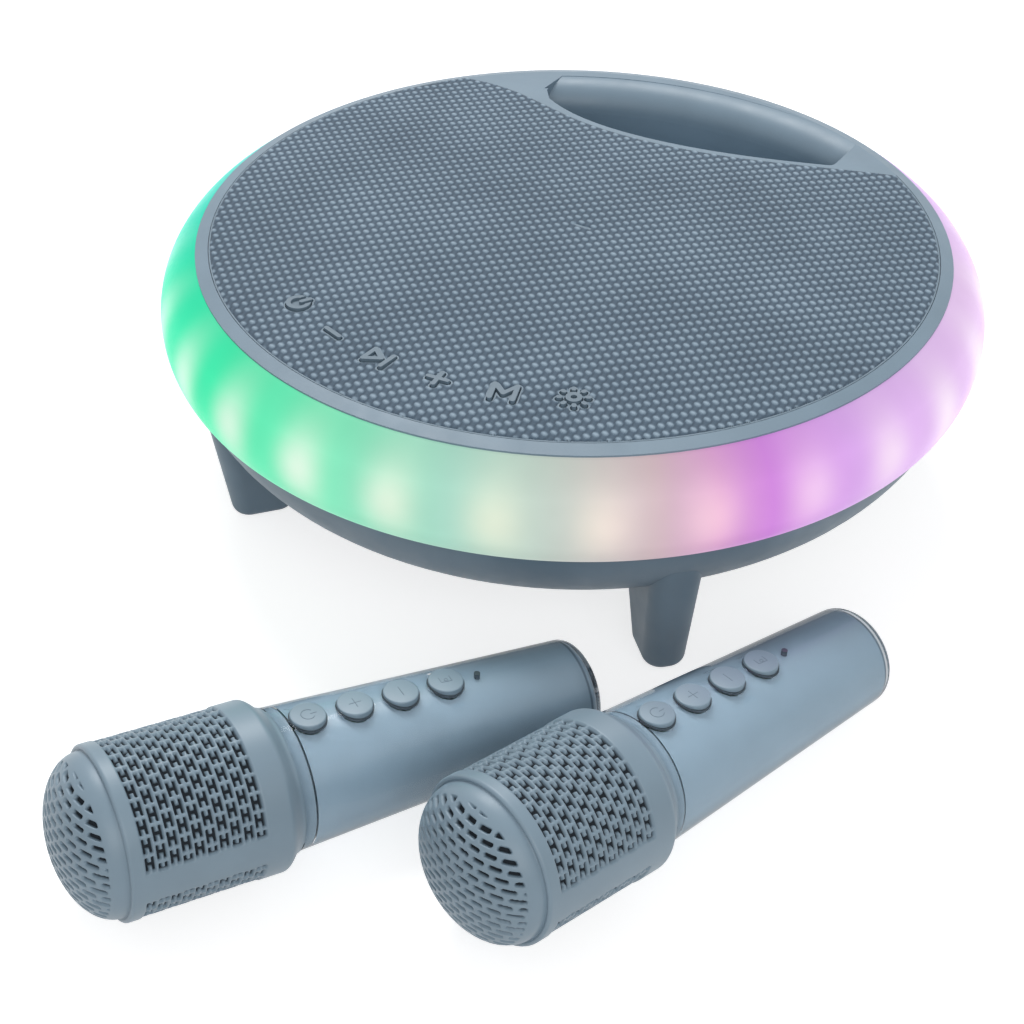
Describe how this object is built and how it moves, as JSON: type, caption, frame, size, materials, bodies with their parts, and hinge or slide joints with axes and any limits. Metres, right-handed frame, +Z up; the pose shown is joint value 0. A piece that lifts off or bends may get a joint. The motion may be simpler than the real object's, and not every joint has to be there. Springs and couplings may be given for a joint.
{
  "type": "karaoke speaker set",
  "caption": "Disc-shaped karaoke speaker with a woven top, light ring, finger recess and fin legs, with handheld wireless microphones.",
  "frame": {"origin": "on the ground, under the centre of the disc", "axes": "+Z up, -Y towards the control keys and the microphones, +X to the right seen from there"},
  "size_m": [0.2802, 0.3926, 0.0898],
  "materials": {
    "shell": "satin moulded",
    "bezel": "satin moulded",
    "ring_diffuser": "frosted translucent, lit from inside",
    "woven_skin": "coarse plain weave",
    "key_rubber": "matte",
    "inner_frame": "moulded",
    "screw_steel": "zinc plated",
    "board": "solder mask",
    "led_resin": "clear",
    "basket_metal": "powder coat",
    "magnet_iron": "plated",
    "cone_fibre": "pressed fibre",
    "surround_rubber": "matte",
    "switch_plastic": "moulded",
    "cell_wrap": "shrink wrap",
    "socket_steel": "drawn",
    "mic_head": "satin moulded",
    "mic_barrel": "satin moulded",
    "mic_key": "satin moulded",
    "clear_plastic": "polished clear",
    "foam": "open-cell foam",
    "capsule_metal": "drawn",
    "indicator_resin": "smoked"
  },
  "bodies": {
    "speaker": {"lower_shell": "shell", "leg_front_left": "shell", "leg_front_right": "shell", "leg_rear_left": "shell", "leg_rear_right": "shell", "leg_screws": "screw_steel", "light_ring": "ring_diffuser", "led_board": "board", "leds": "led_resin", "top_shell": "bezel", "grille_skin": "woven_skin", "grille_frame": "inner_frame", "driver_basket": "basket_metal", "driver_magnet": "magnet_iron", "driver_cone": "cone_fibre", "driver_surround": "surround_rubber", "main_board": "board", "key_board": "board", "key_switches": "switch_plastic", "battery_pack": "cell_wrap", "battery_tray": "inner_frame", "charge_port": "socket_steel", "case_screws": "screw_steel"},
    "power_key": {"power_key": "key_rubber"},
    "volume_down_key": {"volume_down_key": "key_rubber"},
    "play_pause_key": {"play_pause_key": "key_rubber"},
    "volume_up_key": {"volume_up_key": "key_rubber"},
    "mode_key": {"mode_key": "key_rubber"},
    "light_key": {"light_key": "key_rubber"},
    "mic_left": {"mic_left_head_cover": "mic_head", "mic_left_wind_foam": "foam", "mic_left_capsule": "capsule_metal", "mic_left_inner_barrel": "mic_barrel", "mic_left_clear_sleeve": "clear_plastic", "mic_left_board": "board", "mic_left_battery": "cell_wrap", "mic_left_indicator": "indicator_resin", "mic_left_charge_port": "socket_steel"},
    "mic_left_key_1": {"mic_left_key_1": "mic_key"},
    "mic_left_key_2": {"mic_left_key_2": "mic_key"},
    "mic_left_key_3": {"mic_left_key_3": "mic_key"},
    "mic_left_key_4": {"mic_left_key_4": "mic_key"},
    "mic_right": {"mic_right_head_cover": "mic_head", "mic_right_wind_foam": "foam", "mic_right_capsule": "capsule_metal", "mic_right_inner_barrel": "mic_barrel", "mic_right_clear_sleeve": "clear_plastic", "mic_right_board": "board", "mic_right_battery": "cell_wrap", "mic_right_indicator": "indicator_resin", "mic_right_charge_port": "socket_steel"},
    "mic_right_key_1": {"mic_right_key_1": "mic_key"},
    "mic_right_key_2": {"mic_right_key_2": "mic_key"},
    "mic_right_key_3": {"mic_right_key_3": "mic_key"},
    "mic_right_key_4": {"mic_right_key_4": "mic_key"}
  },
  "joints": [
    {"name": "power_key_press", "type": "slide", "parent": "speaker", "child": "power_key", "axis": [0, 0, -1], "range_m": [0, 0.0008], "stiffness_N_per_m": 300},
    {"name": "volume_down_key_press", "type": "slide", "parent": "speaker", "child": "volume_down_key", "axis": [0, 0, -1], "range_m": [0, 0.0008], "stiffness_N_per_m": 300},
    {"name": "play_pause_key_press", "type": "slide", "parent": "speaker", "child": "play_pause_key", "axis": [0, 0, -1], "range_m": [0, 0.0008], "stiffness_N_per_m": 300},
    {"name": "volume_up_key_press", "type": "slide", "parent": "speaker", "child": "volume_up_key", "axis": [0, 0, -1], "range_m": [0, 0.0008], "stiffness_N_per_m": 300},
    {"name": "mode_key_press", "type": "slide", "parent": "speaker", "child": "mode_key", "axis": [0, 0, -1], "range_m": [0, 0.0008], "stiffness_N_per_m": 300},
    {"name": "light_key_press", "type": "slide", "parent": "speaker", "child": "light_key", "axis": [0, 0, -1], "range_m": [0, 0.0008], "stiffness_N_per_m": 300},
    {"name": "mic_left_lift", "type": "slide", "parent": "speaker", "child": "mic_left", "axis": [0, -0.6, 0.8], "range_m": [0, 0.2]},
    {"name": "mic_left_key_1_press", "type": "slide", "parent": "mic_left", "child": "mic_left_key_1", "axis": [-0.0441, -0.0777, -0.996], "range_m": [0, 0.0008], "stiffness_N_per_m": 300},
    {"name": "mic_left_key_2_press", "type": "slide", "parent": "mic_left", "child": "mic_left_key_2", "axis": [-0.0441, -0.0777, -0.996], "range_m": [0, 0.0008], "stiffness_N_per_m": 300},
    {"name": "mic_left_key_3_press", "type": "slide", "parent": "mic_left", "child": "mic_left_key_3", "axis": [-0.0441, -0.0777, -0.996], "range_m": [0, 0.0008], "stiffness_N_per_m": 300},
    {"name": "mic_left_key_4_press", "type": "slide", "parent": "mic_left", "child": "mic_left_key_4", "axis": [-0.0441, -0.0777, -0.996], "range_m": [0, 0.0008], "stiffness_N_per_m": 300},
    {"name": "mic_right_lift", "type": "slide", "parent": "speaker", "child": "mic_right", "axis": [0, -0.6, 0.8], "range_m": [0, 0.2]},
    {"name": "mic_right_key_1_press", "type": "slide", "parent": "mic_right", "child": "mic_right_key_1", "axis": [-0.0268, -0.0852, -0.996], "range_m": [0, 0.0008], "stiffness_N_per_m": 300},
    {"name": "mic_right_key_2_press", "type": "slide", "parent": "mic_right", "child": "mic_right_key_2", "axis": [-0.0268, -0.0852, -0.996], "range_m": [0, 0.0008], "stiffness_N_per_m": 300},
    {"name": "mic_right_key_3_press", "type": "slide", "parent": "mic_right", "child": "mic_right_key_3", "axis": [-0.0268, -0.0852, -0.996], "range_m": [0, 0.0008], "stiffness_N_per_m": 300},
    {"name": "mic_right_key_4_press", "type": "slide", "parent": "mic_right", "child": "mic_right_key_4", "axis": [-0.0268, -0.0852, -0.996], "range_m": [0, 0.0008], "stiffness_N_per_m": 300}
  ]
}
